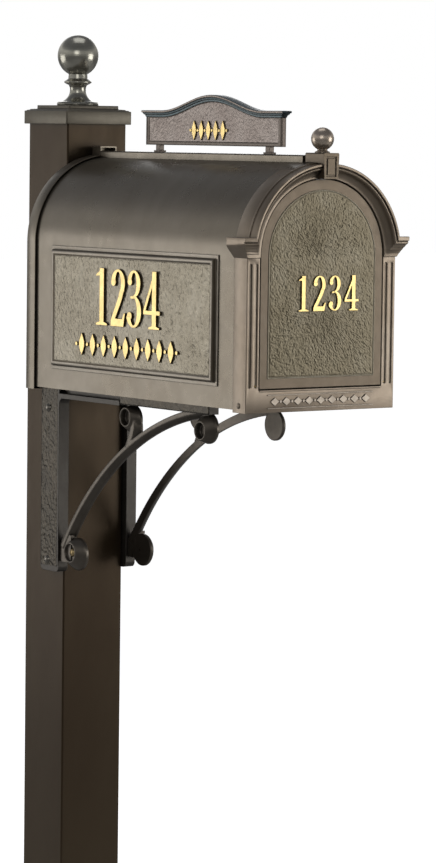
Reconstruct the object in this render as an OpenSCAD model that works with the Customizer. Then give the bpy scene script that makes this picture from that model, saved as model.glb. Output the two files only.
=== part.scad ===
// Kerbside letter box with an arched body on a square post, carried by two
// scroll brackets.  Millimetres, +Z up.  The origin is the centre of the post
// foot on the ground, the door faces -Y.  All heights that belong to the box
// are given from the underside of the box and lifted by box_z.

/* [Post] */
// Outer side of the square post
post_w = 101.6; // [95:0.1:104]
// Wall thickness of the post tube
post_t = 4; // [3:0.5:5]
// Outer corner radius of the post tube
post_r = 2.4; // [1:0.1:4]
// Height of the box underside above the ground
box_z = 1092; // [1040:1:1145]
// Side of the square foot plate
foot_w = 190; // [180:1:220]
// Thickness of the foot plate
foot_t = 10; // [8:1:12]
// Spacing of the anchor bolt holes
foot_pitch = 150; // [146:1:156]
// Diameter of the anchor bolt holes
foot_hole_d = 13; // [10:0.5:14]

/* [Cap and finial] */
// Half width of the cap skirt
cap_hw = 56.5; // [55:0.1:58]
// Underside of the cap skirt above the box underside
cap_z0 = 377.3; // [370:0.1:385]
// Top edge of the cap skirt above the box underside
cap_z1 = 396.2; // [390:0.1:397]
// Half width of the raised square tier
tier_hw = 42.9; // [38:0.1:46]
// Radius of the post ball
ball_r = 29.9; // [28:0.1:31]
// Height of the ball centre above the box underside
ball_z = 476.3; // [475:0.1:479]

/* [Box body] */
// Half width and arch radius of the body
body_hw = 120.7; // [119:0.1:121.5]
// Height where the straight sides end and the arch starts
body_zs = 209.8; // [205:0.1:212]
// Sheet thickness of the body
body_t = 2.5; // [1.5:0.1:3]
// Distance of the rear cover's back face from the post axis
rear_d0 = 59.7; // [58:0.1:62]
// Distance of the rear cover's rim from the post axis
rear_d1 = 81.2; // [78:0.1:84]
// Half width and arch radius of the rear cover
rear_hw = 124.3; // [123.5:0.1:126]

/* [Front frame and door] */
// Distance of the frame's back edge from the post axis
frame_d0 = 561.3; // [558:0.1:564]
// Distance of the pilaster face from the post axis
frame_d1 = 590; // [589.5:0.1:590.5]
// Distance of the arch moulding's rim from the post axis
arch_d1 = 604.6; // [603:0.1:606]
// Half width of the frame
frame_hw = 123.5; // [123:0.1:124]
// Outer radius of the arch moulding
arch_r = 122.1; // [121:0.1:123]
// Height of the centre of the door arch
arch_zs = 206.7; // [205:0.1:208]
// Half width of the door opening
open_hw = 101.6; // [101.5:0.1:102]
// Half width of the door
door_hw = 101; // [100:0.1:101.1]
// Lower edge of the door
door_z0 = 32.4; // [32.3:0.1:32.8]
// Half width of the textured door panel
panel_hw = 88.7; // [80:0.1:92]

/* [Side plaques] */
// Near end of the plaque base from the post axis
plq_d0 = 122; // [115:1:140]
// Far end of the plaque base from the post axis
plq_d1 = 524; // [500:1:530]
// Lower edge of the plaque base
plq_z0 = 32.5; // [28:0.5:40]
// Upper edge of the plaque base
plq_z1 = 206.5; // [190:0.5:207]
// Height of the large numerals
num_h = 78.5; // [60:0.5:84]

/* [Name plate] */
// Distance of the name plate's middle from the post axis
top_d = 341; // [335:1:355]
// Half length of the name plate board
top_hl = 160; // [150:1:170]
// Half length of the name plate cornice
cor_hl = 169; // [165:1:175]
// Rise of the crown above the cornice ends
crown_h = 21.5; // [16:0.5:26]
// Distances of the name plate's feet from the post axis
feet_d = [210.5, 469.5];

/* [Brackets] */
// Thickness of the bracket casting
brk_t = 17.2; // [15:0.1:19]
// Depth of the bracket's scroll
scr_t = 14.5; // [12:0.1:14.6]
// Length of the bracket's leg below the box
brk_h = 268; // [260:1:275]
// Distance of the bracket's front end from the post axis
brk_d1 = 437; // [432:1:442]

/* [Signal flag] */
// Distance of the flag pivot from the post axis
flag_d = 545; // [543:0.5:547]
// Height of the flag pivot above the box underside
flag_z = 213; // [212:0.5:214]
// Length of the flag arm
flag_len = 190; // [150:1:200]

/* [Hidden] */
$fn = 64;
ph = post_w / 2;
tube_top = cap_z1 - 3.4;
hinge_d = 587.5;
hinge_z = 36.2;
pin_r = 1.6;
bronze = [0.27, 0.23, 0.19];
dark = [0.17, 0.14, 0.12];
slate = [0.22, 0.21, 0.20];
olive = [0.36, 0.31, 0.22];
gold = [0.87, 0.70, 0.36];
brass = [0.68, 0.52, 0.28];
steel = [0.62, 0.62, 0.63];

// ---------- shared shapes ----------
// square with true rounded corners, centred
module rsq(w, r) {
  square([w - 2 * r, w], center = true);
  square([w, w - 2 * r], center = true);
  for (x = [-1, 1], y = [-1, 1]) translate([x * (w / 2 - r), y * (w / 2 - r)]) circle(r = r, $fn = 24);
}
// arched outline: straight sides from zb to zs, then a half circle
module arch2d(w, zb, zs) {
  translate([-w, zb]) square([2 * w, zs - zb]);
  translate([0, zs]) circle(r = w, $fn = 128);
}
// solid of an outline between two distances in front of the post axis
module slab(d0, d1) translate([0, -d0, 0]) rotate([90, 0, 0]) linear_extrude(d1 - d0) children();
// half ring about the door arch centre, profile in (radius, distance)
module half_ring(pts) translate([0, 0, arch_zs]) rotate([90, 0, 0])
  rotate_extrude(angle = 180, $fn = 128) polygon(pts);
// outline in (distance, height) turned into a plate between x0 and x1
module side_plate(x0, x1) translate([x0, 0, 0]) rotate([90, 0, -90]) mirror([0, 0, 1])
  linear_extrude(x1 - x0) children();
// rod along X
module xrod(x0, x1, r) translate([x0, 0, 0]) rotate([0, 90, 0]) cylinder(h = x1 - x0, r = r, $fn = 32);
module lift() translate([0, 0, box_z]) children();
module both() { children(); mirror([1, 0, 0]) children(); }

// ---------- numerals: elliptical strokes, thick sides and thin tops ----------
function arc(cx, cy, a, b, t0, t1, n) = [for (i = [0:n]) let (t = t0 + (t1 - t0) * i / n) [cx + a * cos(t), cy + b * sin(t)]];
module bow(cx, cy, a, b, tx, ty, t0, t1, n = 18)
  polygon(concat(arc(cx, cy, a, b, t0, t1, n), arc(cx, cy, a - tx, b - ty, t1, t0, n)));
module dot(x, y, r) translate([x, y]) circle(r = r, $fn = 20);
module digit(k) {
  if (k == 1) {
    translate([0.17, 0]) square([0.13, 1]);
    polygon([[0.06, 0], [0.41, 0], [0.41, 0.03], [0.31, 0.06], [0.16, 0.06], [0.06, 0.03]]);
    polygon([[0.30, 1], [0.27, 1], [0.06, 0.89], [0.06, 0.86], [0.18, 0.87], [0.20, 0.80], [0.30, 0.80]]);
  }
  if (k == 2) {
    bow(0.225, 0.75, 0.215, 0.25, 0.125, 0.045, 165, -40);
    dot(0.085, 0.775, 0.07);
    polygon([[0.395, 0.60], [0.290, 0.655], [0.245, 0.52], [0.01, 0.10], [0.01, 0.05], [0.08, 0.05], [0.14, 0.13], [0.335, 0.45]]);
    polygon([[0.01, 0], [0.40, 0], [0.45, 0.24], [0.415, 0.24], [0.36, 0.135], [0.09, 0.135], [0.01, 0.10]]);
  }
  if (k == 3) {
    bow(0.20, 0.765, 0.20, 0.235, 0.12, 0.04, 160, -92);
    bow(0.195, 0.28, 0.235, 0.28, 0.13, 0.04, 92, -160);
    dot(0.075, 0.80, 0.066);
    dot(0.07, 0.20, 0.07);
    polygon([[0.10, 0.505], [0.24, 0.505], [0.24, 0.56], [0.10, 0.545]]);
  }
  if (k == 4) {
    translate([0.24, 0.03]) square([0.125, 0.97]);
    polygon([[0.14, 0], [0.46, 0], [0.46, 0.03], [0.37, 0.055], [0.23, 0.055], [0.14, 0.03]]);
    polygon([[0.365, 1], [0.30, 1], [-0.02, 0.32], [-0.02, 0.25], [0.48, 0.25], [0.48, 0.32], [0.05, 0.32], [0.26, 0.77], [0.26, 0.9]]);
  }
}
module number(h, pitch) for (i = [0:3]) translate([(i - 2) * pitch + pitch * 0.10, 0]) scale(h) digit(i + 1);
// pointed leaf standing on its tip, height h, width w
module leaf(w, h) polygon(concat([for (i = [0:10]) let (t = i / 10) [w / 2 * pow(sin(180 * t), 1.25), h * (t - 0.5)]],
  [for (i = [1:9]) let (t = 1 - i / 10) [-w / 2 * pow(sin(180 * t), 1.25), h * (t - 0.5)]]));
module leaf_row(n, pitch, w, h) {
  for (i = [0:n - 1]) translate([(i - (n - 1) / 2) * pitch, 0]) leaf(w, h);
  for (i = [0:n]) translate([(i - n / 2) * pitch, 0]) circle(r = w * 0.2, $fn = 16);
}

// ---------- post ----------
module foot_plate() color(dark) difference() {
  linear_extrude(foot_t) rsq(foot_w, 12);
  for (x = [-1, 1], y = [-1, 1]) translate([x * foot_pitch / 2, y * foot_pitch / 2, -1])
    cylinder(h = foot_t + 2, d = foot_hole_d, $fn = 32);
}
module post_holes() {
  for (z = [-31.5, -252]) lift() translate([0, -33, z]) xrod(-ph - 1, ph + 1, 3);
  for (z = [60, 180]) lift() translate([0, -ph + post_t + 1, z]) rotate([90, 0, 0]) cylinder(h = post_t + 3, r = 4, $fn = 32);
  for (x = [-25, 25]) lift() translate([x, ph - post_t - 1, cap_z0 + 8]) rotate([-90, 0, 0]) cylinder(h = post_t + 3, r = 2, $fn = 32);
}
module post_tube() color(dark) difference() {
  translate([0, 0, foot_t]) linear_extrude(box_z + tube_top - foot_t) difference() {
    rsq(post_w, post_r);
    rsq(post_w - 2 * post_t, 1.2);
  }
  post_holes();
}
module post_cap() color(dark) lift() difference() {
  union() {
    translate([0, 0, cap_z0]) linear_extrude(cap_z1 - cap_z0) rsq(2 * cap_hw, 2.2);
    translate([0, 0, cap_z1]) linear_extrude(1.2) rsq(2 * cap_hw - 5, 2);
    translate([0, 0, cap_z1]) linear_extrude(2.4) rsq(2 * cap_hw - 12, 2);
    translate([0, 0, cap_z1]) linear_extrude(8) rsq(2 * tier_hw, 2);
  }
  translate([0, 0, cap_z0 - 1]) linear_extrude(tube_top - cap_z0 + 1) rsq(post_w + 0.4, post_r);
  translate([0, 0, cap_z0]) cylinder(h = 60, r = 5, $fn = 32);
  for (x = [-25, 25]) translate([x, ph - 1, cap_z0 + 8]) rotate([-90, 0, 0]) cylinder(h = 12, r = 2, $fn = 32);
}
module cap_screws() color(steel) lift() for (x = [-25, 25]) translate([x, 0, cap_z0 + 8]) rotate([-90, 0, 0]) {
  translate([0, 0, ph - post_t - 2]) cylinder(h = cap_hw - ph + post_t + 2, r = 2, $fn = 32);
  translate([0, 0, cap_hw]) intersection() { cylinder(h = 2.4, r = 4, $fn = 32); translate([0, 0, -3.6]) sphere(r = 5.8, $fn = 48); }
}
module post_finial() color(dark) lift() difference() {
  rotate_extrude($fn = 96) polygon(concat(
    [[0, cap_z1 + 8], [30, cap_z1 + 8], [30.4, cap_z1 + 10.5], [29.2, cap_z1 + 13]],
    [for (i = [0:12]) let (t = i / 12) [28 - 16.4 * sin(90 * t), cap_z1 + 13.4 + 17.4 * (1 - cos(90 * t))]],
    [[11.8, cap_z1 + 34], [13.4, cap_z1 + 37.5], [17.6, cap_z1 + 39.6], [20, cap_z1 + 41.2], [20, cap_z1 + 42.8],
     [17.4, cap_z1 + 44.6], [14.2, cap_z1 + 47]],
    [for (i = [0:32]) let (a = -63 + 153 * i / 32) [ball_r * cos(a) * (i == 32 ? 0 : 1), ball_z + ball_r * sin(a)]]));
  translate([0, 0, cap_z1]) cylinder(h = 44, r = 5, $fn = 32);
}
module finial_stud() color(steel) lift() {
  translate([0, 0, tube_top - 14]) cylinder(h = 52, r = 5, $fn = 32);
  translate([0, 0, tube_top - 8]) cylinder(h = 8, r = 9.2, $fn = 6);
}

// ---------- brackets, drawn for the +X side ----------
// strut band between two circles, in (distance, height)
module strut2d() intersection() {
  difference() {
    translate([487, -505]) circle(r = 506, $fn = 128);
    translate([468, -476]) circle(r = 460, $fn = 128);
  }
  polygon([[72, -222], [98, -222], [210, -140], [400, -50], [418, -24], [412, -14.2], [300, -14.2], [150, -80]]);
}
module bracket_one() difference() {
  union() {
    // leg on the post side
    side_plate(ph, ph + brk_t - 1.2) {
      translate([14, -brk_h + 8]) square([47.5, brk_h - 7.4]);
      translate([22, -brk_h]) square([31.5, 9]);
      for (d = [22, 53.5]) translate([d, -brk_h + 8]) circle(r = 8, $fn = 32);
    }
    // smooth rim along the front edge of the leg
    side_plate(ph, ph + brk_t) { translate([57.5, -brk_h + 10]) square([4, brk_h - 9.4]); }
    // arm under the box: web, lower rib at the rear, full section in front
    side_plate(ph, ph + 8) translate([61.5, -9]) square([brk_d1 - 61.5 - 8, 9.6]);
    side_plate(ph, ph + brk_t) translate([61.5, -16]) square([153.5, 7]);
    side_plate(ph, ph + brk_t - 1.2) translate([215, -14]) square([brk_d1 - 222, 14.6]);
    // fillet in the inside corner
    side_plate(ph, ph + brk_t) difference() {
      translate([61.5, -24]) square([8, 8]);
      translate([69.5, -24]) circle(r = 8, $fn = 32);
    }
  }
  for (z = [-31.5, -252]) translate([0, -33, z]) xrod(ph - 1, ph + 30, 3);
  for (d = [240, 400]) translate([ph + 9, -d, -8]) cylinder(h = 20, r = 3, $fn = 32);
}
module bracket_right() color(slate) lift() bracket_one();
module bracket_left() color(slate) lift() mirror([1, 0, 0]) bracket_one();
// the curled strut that stands between leg and arm
module scroll_one() difference() {
  union() {
    side_plate(ph + 3, ph + 3 + scr_t - 3) strut2d();
    // lower scroll, dished towards the outside
    side_plate(ph + 3, ph + 3 + scr_t) { translate([97.5, -238.5]) circle(r = 23.5, $fn = 64); polygon([[61.7, -226], [74, -212], [90, -212], [90, -252], [61.7, -252]]); }
    // front scroll under the arm
    side_plate(ph + 3, ph + 3 + scr_t) difference() { translate([415, -33.5]) circle(r = 21.5, $fn = 64); translate([380, -14.2]) square([70, 20]); }
    // small branch scroll
    side_plate(ph + 3, ph + 3 + scr_t) {
      difference() { translate([234, -34]) circle(r = 20, $fn = 64); translate([200, -14.2]) square([70, 20]); }
      polygon([[226, -48], [253, -40], [258, -62], [236, -82], [222, -88]]);
    }
  }
  // hollows of the scrolls
  translate([0, -92, -236.5]) xrod(ph + 12, ph + 40, 13);
  translate([0, -409, -37]) xrod(ph + 7, ph + 40, 11.2);
  translate([0, -228.5, -31.5]) xrod(ph + 7, ph + 40, 11.6);
  translate([0, -92, -236.5]) xrod(ph - 5, ph + 40, 2.5);
}
module scroll_right() color(slate) lift() scroll_one();
module scroll_left() color(slate) lift() mirror([1, 0, 0]) scroll_one();
module bracket_post_screws() color(brass) lift() both() for (z = [-31.5, -252]) translate([0, -33, z]) {
  xrod(ph - post_t - 6, ph + brk_t - 1.2, 3);
  translate([ph + brk_t - 1.2, 0, 0]) rotate([0, 90, 0]) intersection() {
    cylinder(h = 5, r = 6.4, $fn = 48);
    translate([0, 0, -2.2]) sphere(r = 6.9, $fn = 64);
  }
}
module scroll_screws() color(brass) lift() both() translate([0, -92, -236.5]) {
  xrod(ph + 3, ph + 12, 2.5);
  translate([ph + 12, 0, 0]) rotate([0, 90, 0]) difference() {
    intersection() { cylinder(h = 3.4, r = 6, $fn = 48); translate([0, 0, -4.2]) sphere(r = 7.6, $fn = 64); }
    translate([-5, -0.6, 2]) cube([10, 1.2, 3]);
  }
}

// ---------- box ----------
module mounting_board() color(steel) lift() difference() {
  translate([-85, -545, 0.6]) cube([170, 455, 3.4]);
  both() for (d = [240, 400]) translate([ph + 9, -d, 0]) cylinder(h = 5, r = 3, $fn = 32);
}
module floor_bolts() color(steel) lift() both() for (d = [240, 400]) translate([ph + 9, -d, 0]) {
  translate([0, 0, -8]) cylinder(h = 15, r = 3, $fn = 32);
  translate([0, 0, 7]) cylinder(h = 4, r = 5.8, $fn = 6);
}
module rear_spacer() color(dark) lift() difference() {
  translate([-46, -rear_d0, 30]) cube([92, rear_d0 - ph, 190]);
  for (z = [60, 180]) translate([0, -ph + 1, z]) rotate([90, 0, 0]) cylinder(h = 12, r = 4, $fn = 32);
}
module rear_bolts() color(steel) lift() for (z = [60, 180]) translate([0, 0, z]) rotate([90, 0, 0]) {
  translate([0, 0, ph - post_t - 8]) cylinder(h = rear_d0 + 4 - ph + post_t + 8, r = 4, $fn = 32);
  translate([0, 0, rear_d0 + 4]) cylinder(h = 5, r = 7.5, $fn = 6);
  translate([0, 0, ph - post_t - 6.5]) cylinder(h = 6.5, r = 7.5, $fn = 6);
}
module body_shell() color(bronze) lift() difference() {
  slab(rear_d0 + 4, 584) difference() {
    arch2d(body_hw, 4, body_zs);
    arch2d(body_hw - body_t, 3, body_zs);
  }
  // two bores for the name plate, one for the flag
  for (d = feet_d) translate([0, -d, 300]) cylinder(h = 40, r = 2.5, $fn = 32);
  translate([0, -flag_d, flag_z]) xrod(110, 125, 3);
  both() for (d = [160, 486], z = [70, 170]) translate([0, -d, z]) xrod(110, 125, 2);
  both() translate([0, -575, 10]) xrod(110, 125, 2);
}
module floor_plate() color(bronze) lift() difference() {
  translate([-body_hw + body_t, -583, 4]) cube([2 * (body_hw - body_t), 583 - rear_d0 - 4, 3]);
  both() for (d = [240, 400]) translate([ph + 9, -d, 0]) cylinder(h = 15, r = 3, $fn = 32);
}
module rear_cover() color(bronze) lift() difference() {
  union() {
    slab(rear_d0, rear_d0 + 4) arch2d(rear_hw, 0.8, body_zs);
    slab(rear_d0, rear_d1 - 1.2) difference() {
      arch2d(rear_hw, 0.8, body_zs);
      arch2d(body_hw + 0.2, 3.8, body_zs);
    }
    slab(rear_d0, rear_d1) difference() {
      arch2d(rear_hw - 0.8, 1.6, body_zs);
      arch2d(body_hw + 0.9, 3.2, body_zs);
    }
    difference() {
      translate([-13.7, -rear_d1, 320]) cube([27.4, rear_d1 - rear_d0, 25.9]);
      slab(rear_d0 - 1, rear_d1 + 1) arch2d(body_hw + 0.2, 3.8, body_zs);
    }
  }
  for (z = [60, 180]) translate([0, -rear_d0 + 1, z]) rotate([90, 0, 0]) cylinder(h = 8, r = 4, $fn = 32);
}
module ridge_rail() color(bronze) lift() difference() {
  translate([0, -rear_d1 - 0.3, 0]) rotate([90, 0, 0]) linear_extrude(frame_d0 - rear_d1 - 0.3)
    polygon([[-13.7, 322], [13.7, 322], [13.7, 337.8], [12, 339.5], [-12, 339.5], [-13.7, 337.8]]);
  slab(rear_d1 - 1, frame_d0 + 1) arch2d(body_hw, 4, body_zs);
  for (d = feet_d) translate([0, -d, 300]) cylinder(h = 60, r = 2.5, $fn = 32);
}

// ---------- front frame ----------
arch_pts = [[open_hw, 585.2], [open_hw, 590.4], [102.6, 591.2], [104.6, 591.2], [105.4, 592.2], [105.8, 594.2], [108.2, 594.6],
  [109.4, 596.6], [111.2, 599.2], [113.4, 601.2], [115.4, 602.2], [115.8, 603.3], [117.6, 603.6], [118.3, 602.6],
  [118.9, 602.2], [119.4, 602.6], [119.6, 604.2], [120.2, arch_d1], [121.6, arch_d1], [arch_r, 604.1], [arch_r, 601.4], [arch_r + 0.6, 600.8],
  [arch_r + 0.6, 595], [frame_hw, 594], [frame_hw, 585.2]];
// half profiles of an impost: width from the middle, and distance
imp_x = [[102.2, 204.4], [124.6, 204.4], [124.9, 208.6], [125.8, 209.4], [126.4, 213.4], [127.6, 217.4], [129.8, 220.8], [132.4, 223],
  [133.6, 223.2], [133.6, 224.6], [135, 225], [135, 226], [136.6, 226.4], [136.6, 231], [136, 231.8], [102.2, 231.8]];
imp_d = [[frame_d0, 204.4], [592.4, 204.4], [592.7, 208.6], [593.6, 209.4], [594.1, 213.4], [595.2, 217.4], [597.2, 220.8], [599.6, 223],
  [600.6, 223.2], [600.6, 224.6], [601.9, 225], [601.9, 226], [603.4, 226.4], [603.4, 231], [602.9, 231.8], [frame_d0, 231.8]];
module impost() difference() {
  intersection() {
    slab(frame_d0 - 1, 610) polygon(imp_x);
    side_plate(90, 140) polygon(imp_d);
  }
  slab(540, 620) arch2d(open_hw, 100, arch_zs);
  slab(540, 585.2) arch2d(frame_hw, 100, arch_zs);
}
module flute(x) translate([x, 0, 0]) {
  translate([-1.9, -592, 36]) cube([3.8, 3.6, 159]);
  for (z = [36, 195]) translate([0, -588.4, z]) rotate([90, 0, 0]) cylinder(h = 3.6, r = 1.9, $fn = 32);
}
module front_frame() color(bronze) lift() difference() {
  union() {
    // side return
    slab(frame_d0, 585.2) difference() {
      arch2d(frame_hw, 0.7, arch_zs);
      arch2d(body_hw + 0.15, 3.9, body_zs - 3.2);
      translate([0, body_zs]) circle(r = body_hw + 0.15, $fn = 128);
    }
    // face with the door opening
    slab(585.2, frame_d1) difference() {
      arch2d(frame_hw, 0.7, arch_zs);
      arch2d(open_hw, 31.2, arch_zs);
    }
    // sill lip
    translate([-100.6, -591, 28.6]) cube([201.2, 1.2, 2.2]);
    // the arch moulding stands on the imposts
    intersection() { half_ring(arch_pts); translate([-150, -650, 231]) cube([300, 100, 110]); }
    both() impost();
  }
  both() { flute(107.7); flute(117.3); }
  both() translate([0, -hinge_d, hinge_z]) xrod(100, 110, pin_r + 0.05);
  both() translate([0, -575, 10]) xrod(100, 130, 2);
  slab(frame_d0 - 1, 585.2) arch2d(open_hw, 100, arch_zs);
}
module frame_screws() color(bronze) lift() both() for (z = [10]) translate([0, -575, z]) {
  xrod(112, frame_hw, 2);
  translate([frame_hw, 0, 0]) rotate([0, 90, 0]) intersection() { cylinder(h = 1.8, r = 4, $fn = 48); translate([0, 0, -4.6]) sphere(r = 6.2, $fn = 64); }
}
// raised lozenges and beads along the band under the door
module sill_ornament() color(bronze) lift() translate([0, -frame_d1, 15.2]) rotate([90, 0, 0]) linear_extrude(1.3) {
  for (i = [-4:4]) translate([i * 19, 0]) polygon([[-7, 0], [0, 5.4], [7, 0], [0, -5.4]]);
  for (i = [-4:3]) translate([i * 19 + 9.5, 0]) circle(r = 1.9, $fn = 24);
  translate([-88, 8.2]) square([176, 1.1]);
  translate([-88, -9.3]) square([176, 1.1]);
}
module keystone() color(bronze) lift() difference() {
  slab(566.3, 606.8) polygon([[-11.6, 308.4], [11.6, 308.4], [12.9, 341.4], [11.6, 342.8], [-11.6, 342.8], [-12.9, 341.4]]);
  half_ring(concat([[60, 560], [60, 590.4]], [for (i = [1:24]) arch_pts[i]], [[frame_hw, 560]]));
  // clearance over the crown of the shell
  slab(560, 585.2) translate([0, body_zs]) circle(r = body_hw + 0.15, $fn = 128);
  // groove round the raised field on its face
  slab(605.4, 608) difference() { translate([-8.4, 311.5]) square([16.8, 26.4]); translate([-6, 314]) square([12, 21.4]); }
  translate([0, -586.5, 335]) cylinder(h = 10, r = 3, $fn = 32);
}
module keystone_finial() color(bronze) lift() translate([0, -586.5, 0]) {
  rotate_extrude($fn = 96) polygon(concat(
    [[0, 342.8], [10, 342.8], [10.3, 343.6], [9.4, 344.8], [7.4, 345.6], [6.6, 346.8]],
    [for (i = [0:30]) let (a = -64 + 154 * i / 30) [15.3 * cos(a) * (i == 30 ? 0 : 1), 361.2 + 15.3 * sin(a)]]));
  translate([0, 0, 335]) cylinder(h = 9, r = 3, $fn = 32);
}

// ---------- door ----------
module door() color(bronze) lift() difference() {
  union() {
    slab(585, 590) arch2d(door_hw, door_z0, arch_zs);
    slab(578, 585) difference() { arch2d(92, 48, arch_zs); arch2d(88.5, 51.5, arch_zs); }
  }
  both() translate([0, -hinge_d, hinge_z]) xrod(93, 104, pin_r);
}
module door_panel() color(olive) lift() {
  slab(590, 591) difference() { arch2d(panel_hw, 45.5, arch_zs - 1.4); arch2d(panel_hw - 1.3, 46.8, arch_zs - 1.4); }
  slab(590, 590.6) arch2d(panel_hw - 1.3, 46.8, arch_zs - 1.4);
}
module door_numerals() color(gold) lift() translate([8, -590.6, 133.5]) rotate([90, 0, 0]) linear_extrude(1.8) number(47, 26.8);
module door_hinge_pins() color(brass) lift() both() translate([0, -hinge_d, hinge_z]) xrod(93, 108.5, pin_r);
module door_catch() color(steel) lift() translate([0, -577.4, arch_zs]) {
  translate([-14, 0, 94.3]) cube([28, 12, 26]);
}
module door_strike() color(steel) lift() translate([-12, -585, arch_zs + 92.2]) cube([24, 7, 7.4]);

// ---------- side plaques, drawn for the +X side ----------
module plaque_one() {
  side_plate(body_hw, body_hw + 1.5) translate([plq_d0, plq_z0]) square([plq_d1 - plq_d0, plq_z1 - plq_z0]);
  side_plate(body_hw + 1.5, body_hw + 5.6) translate([plq_d0 + 5, plq_z0 + 5]) square([plq_d1 - plq_d0 - 10, plq_z1 - plq_z0 - 10]);
  side_plate(body_hw + 5.6, body_hw + 6.8) difference() {
    translate([plq_d0 + 6.2, plq_z0 + 6.2]) square([plq_d1 - plq_d0 - 12.4, plq_z1 - plq_z0 - 12.4]);
    translate([plq_d0 + 13.5, plq_z0 + 13.5]) square([plq_d1 - plq_d0 - 27, plq_z1 - plq_z0 - 27]);
  }
}
plq_c = (plq_d0 + plq_d1) / 2 - 6;
module side_face(x) translate([x, -plq_c, 0]) rotate([90, 0, 90]) children();
module plaque_right() color(olive) lift() plaque_one();
module plaque_left() color(olive) lift() mirror([1, 0, 0]) plaque_one();
module numerals_left() color(gold) lift() mirror([1, 0, 0]) side_face(body_hw + 5.6) linear_extrude(2.6) mirror([1, 0]) translate([0, 100.8]) number(num_h, 40.5);
module numerals_right() color(gold) lift() side_face(body_hw + 5.6) linear_extrude(2.6) translate([0, 100.8]) number(num_h, 40.5);
module ornament_left() color(gold) lift() mirror([1, 0, 0]) side_face(body_hw + 5.6) linear_extrude(2.2) translate([0, 72]) leaf_row(9, 27, 13, 31);
module ornament_right() color(gold) lift() side_face(body_hw + 5.6) linear_extrude(2.2) translate([0, 72]) leaf_row(9, 27, 13, 31);
module plaque_studs() color(steel) lift() both() for (d = [160, 486], z = [70, 170]) translate([0, -d, z]) {
  xrod(body_hw - body_t - 5, body_hw, 2);
  xrod(body_hw - body_t - 3, body_hw - body_t, 4);
}

// ---------- name plate on the ridge ----------
function crest(u) = abs(u) > 119 ? 398 : 398 + crown_h * (0.5 + 0.5 * cos(180 * u / 119));
function top_u(l) = concat([-l], [for (i = [-24:24]) 4.96 * i], [l]);
function top_line(l, dz) = [for (u = top_u(l)) [top_d + u, crest(u) + dz]];
module topper_board() color(dark) lift() {
  side_plate(-2.8, 2.8) polygon(concat([[top_d + top_hl, 349.5], [top_d - top_hl, 349.5]], top_line(top_hl, -9.5)));
  both() side_plate(2.8, 3.8) difference() {
    polygon(concat([[top_d + top_hl, 349.5], [top_d - top_hl, 349.5]], top_line(top_hl, -9.5)));
    polygon(concat([[top_d + top_hl - 8, 355], [top_d - top_hl + 8, 355]], top_line(top_hl - 8, -11)));
  }
}
module cornice_band(x, l, z0, z1) side_plate(-x, x) polygon(concat(top_line(l, z1),
  [for (u = top_u(l)) [top_d - u, crest(u) + z0]]));
module topper_cornice() color(slate) lift() {
  cornice_band(5, cor_hl - 7, -9.5, -6.3);
  cornice_band(6.6, cor_hl - 3, -6.3, -3.4);
  cornice_band(8.2, cor_hl, -3.4, 0);
}
module topper_feet() color(dark) lift() for (d = feet_d) {
  translate([-3.8, -d - 4.5, 339.5]) cube([7.6, 9, 10]);
  translate([-5.5, -d - 7, 339.5]) cube([11, 14, 2.5]);
}
module topper_ornament() color(gold) lift() both() side_plate(2.8, 5) translate([333, 370.5]) leaf_row(5, 17, 10, 27);
module topper_screws() color(steel) lift() for (d = feet_d) translate([0, -d, 0]) {
  translate([0, 0, 322]) cylinder(h = 17.5, r = 2.5, $fn = 32);
  translate([0, 0, 324.4]) cylinder(h = 3.4, r = 5, $fn = 6);
}

// ---------- signal flag on the +X side ----------
module flag_bushing() color(brass) lift() translate([0, -flag_d, flag_z]) difference() {
  xrod(body_hw, 127.2, 8);
  xrod(110, 130, 3);
}
module flag_arm() color(bronze) lift() translate([0, -flag_d, flag_z]) difference() {
  union() {
    xrod(127.5, 131, 9.5);
    side_plate(127.5, 130.5) translate([-flag_len + 6, -5.5]) square([flag_len - 6, 11]);
  }
  xrod(120, 140, 3.05);
}
module flag_blade() color([0.55, 0.16, 0.12]) lift() translate([0, -flag_d, flag_z]) side_plate(130.5, 132.5)
  polygon([[-flag_len, -5.5], [-flag_len + 62, -5.5], [-flag_len + 62, 42], [-flag_len + 50, 50], [-flag_len, 50]]);
module flag_bolt() color(brass) lift() translate([0, -flag_d, flag_z]) {
  xrod(113, 131.4, 3);
  xrod(114.6, 117.6, 5.5);
  translate([131.4, 0, 0]) rotate([0, 90, 0]) intersection() { cylinder(h = 4, r = 6.5, $fn = 48); translate([0, 0, -3.6]) sphere(r = 7.5, $fn = 64); }
}
module flag_rivets() color(brass) lift() translate([0, -flag_d, flag_z]) for (u = [flag_len - 12, flag_len - 50])
  translate([132.5, u, 0]) rotate([0, 90, 0]) intersection() { cylinder(h = 1.6, r = 3, $fn = 32); translate([0, 0, -2.2]) sphere(r = 3.7, $fn = 48); }

foot_plate();
post_tube();
post_cap();
cap_screws();
post_finial();
finial_stud();
bracket_left();
bracket_right();
scroll_left();
scroll_right();
bracket_post_screws();
scroll_screws();
mounting_board();
floor_bolts();
rear_spacer();
rear_bolts();
body_shell();
floor_plate();
rear_cover();
ridge_rail();
front_frame();
frame_screws();
sill_ornament();
keystone();
keystone_finial();
door();
door_panel();
door_numerals();
door_hinge_pins();
door_catch();
door_strike();
plaque_left();
plaque_right();
numerals_left();
numerals_right();
ornament_left();
ornament_right();
plaque_studs();
topper_board();
topper_cornice();
topper_feet();
topper_ornament();
topper_screws();
flag_bushing();
flag_arm();
flag_blade();
flag_bolt();
flag_rivets();
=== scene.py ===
import math
import bpy
import bmesh
from mathutils import Matrix, Vector, noise


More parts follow.
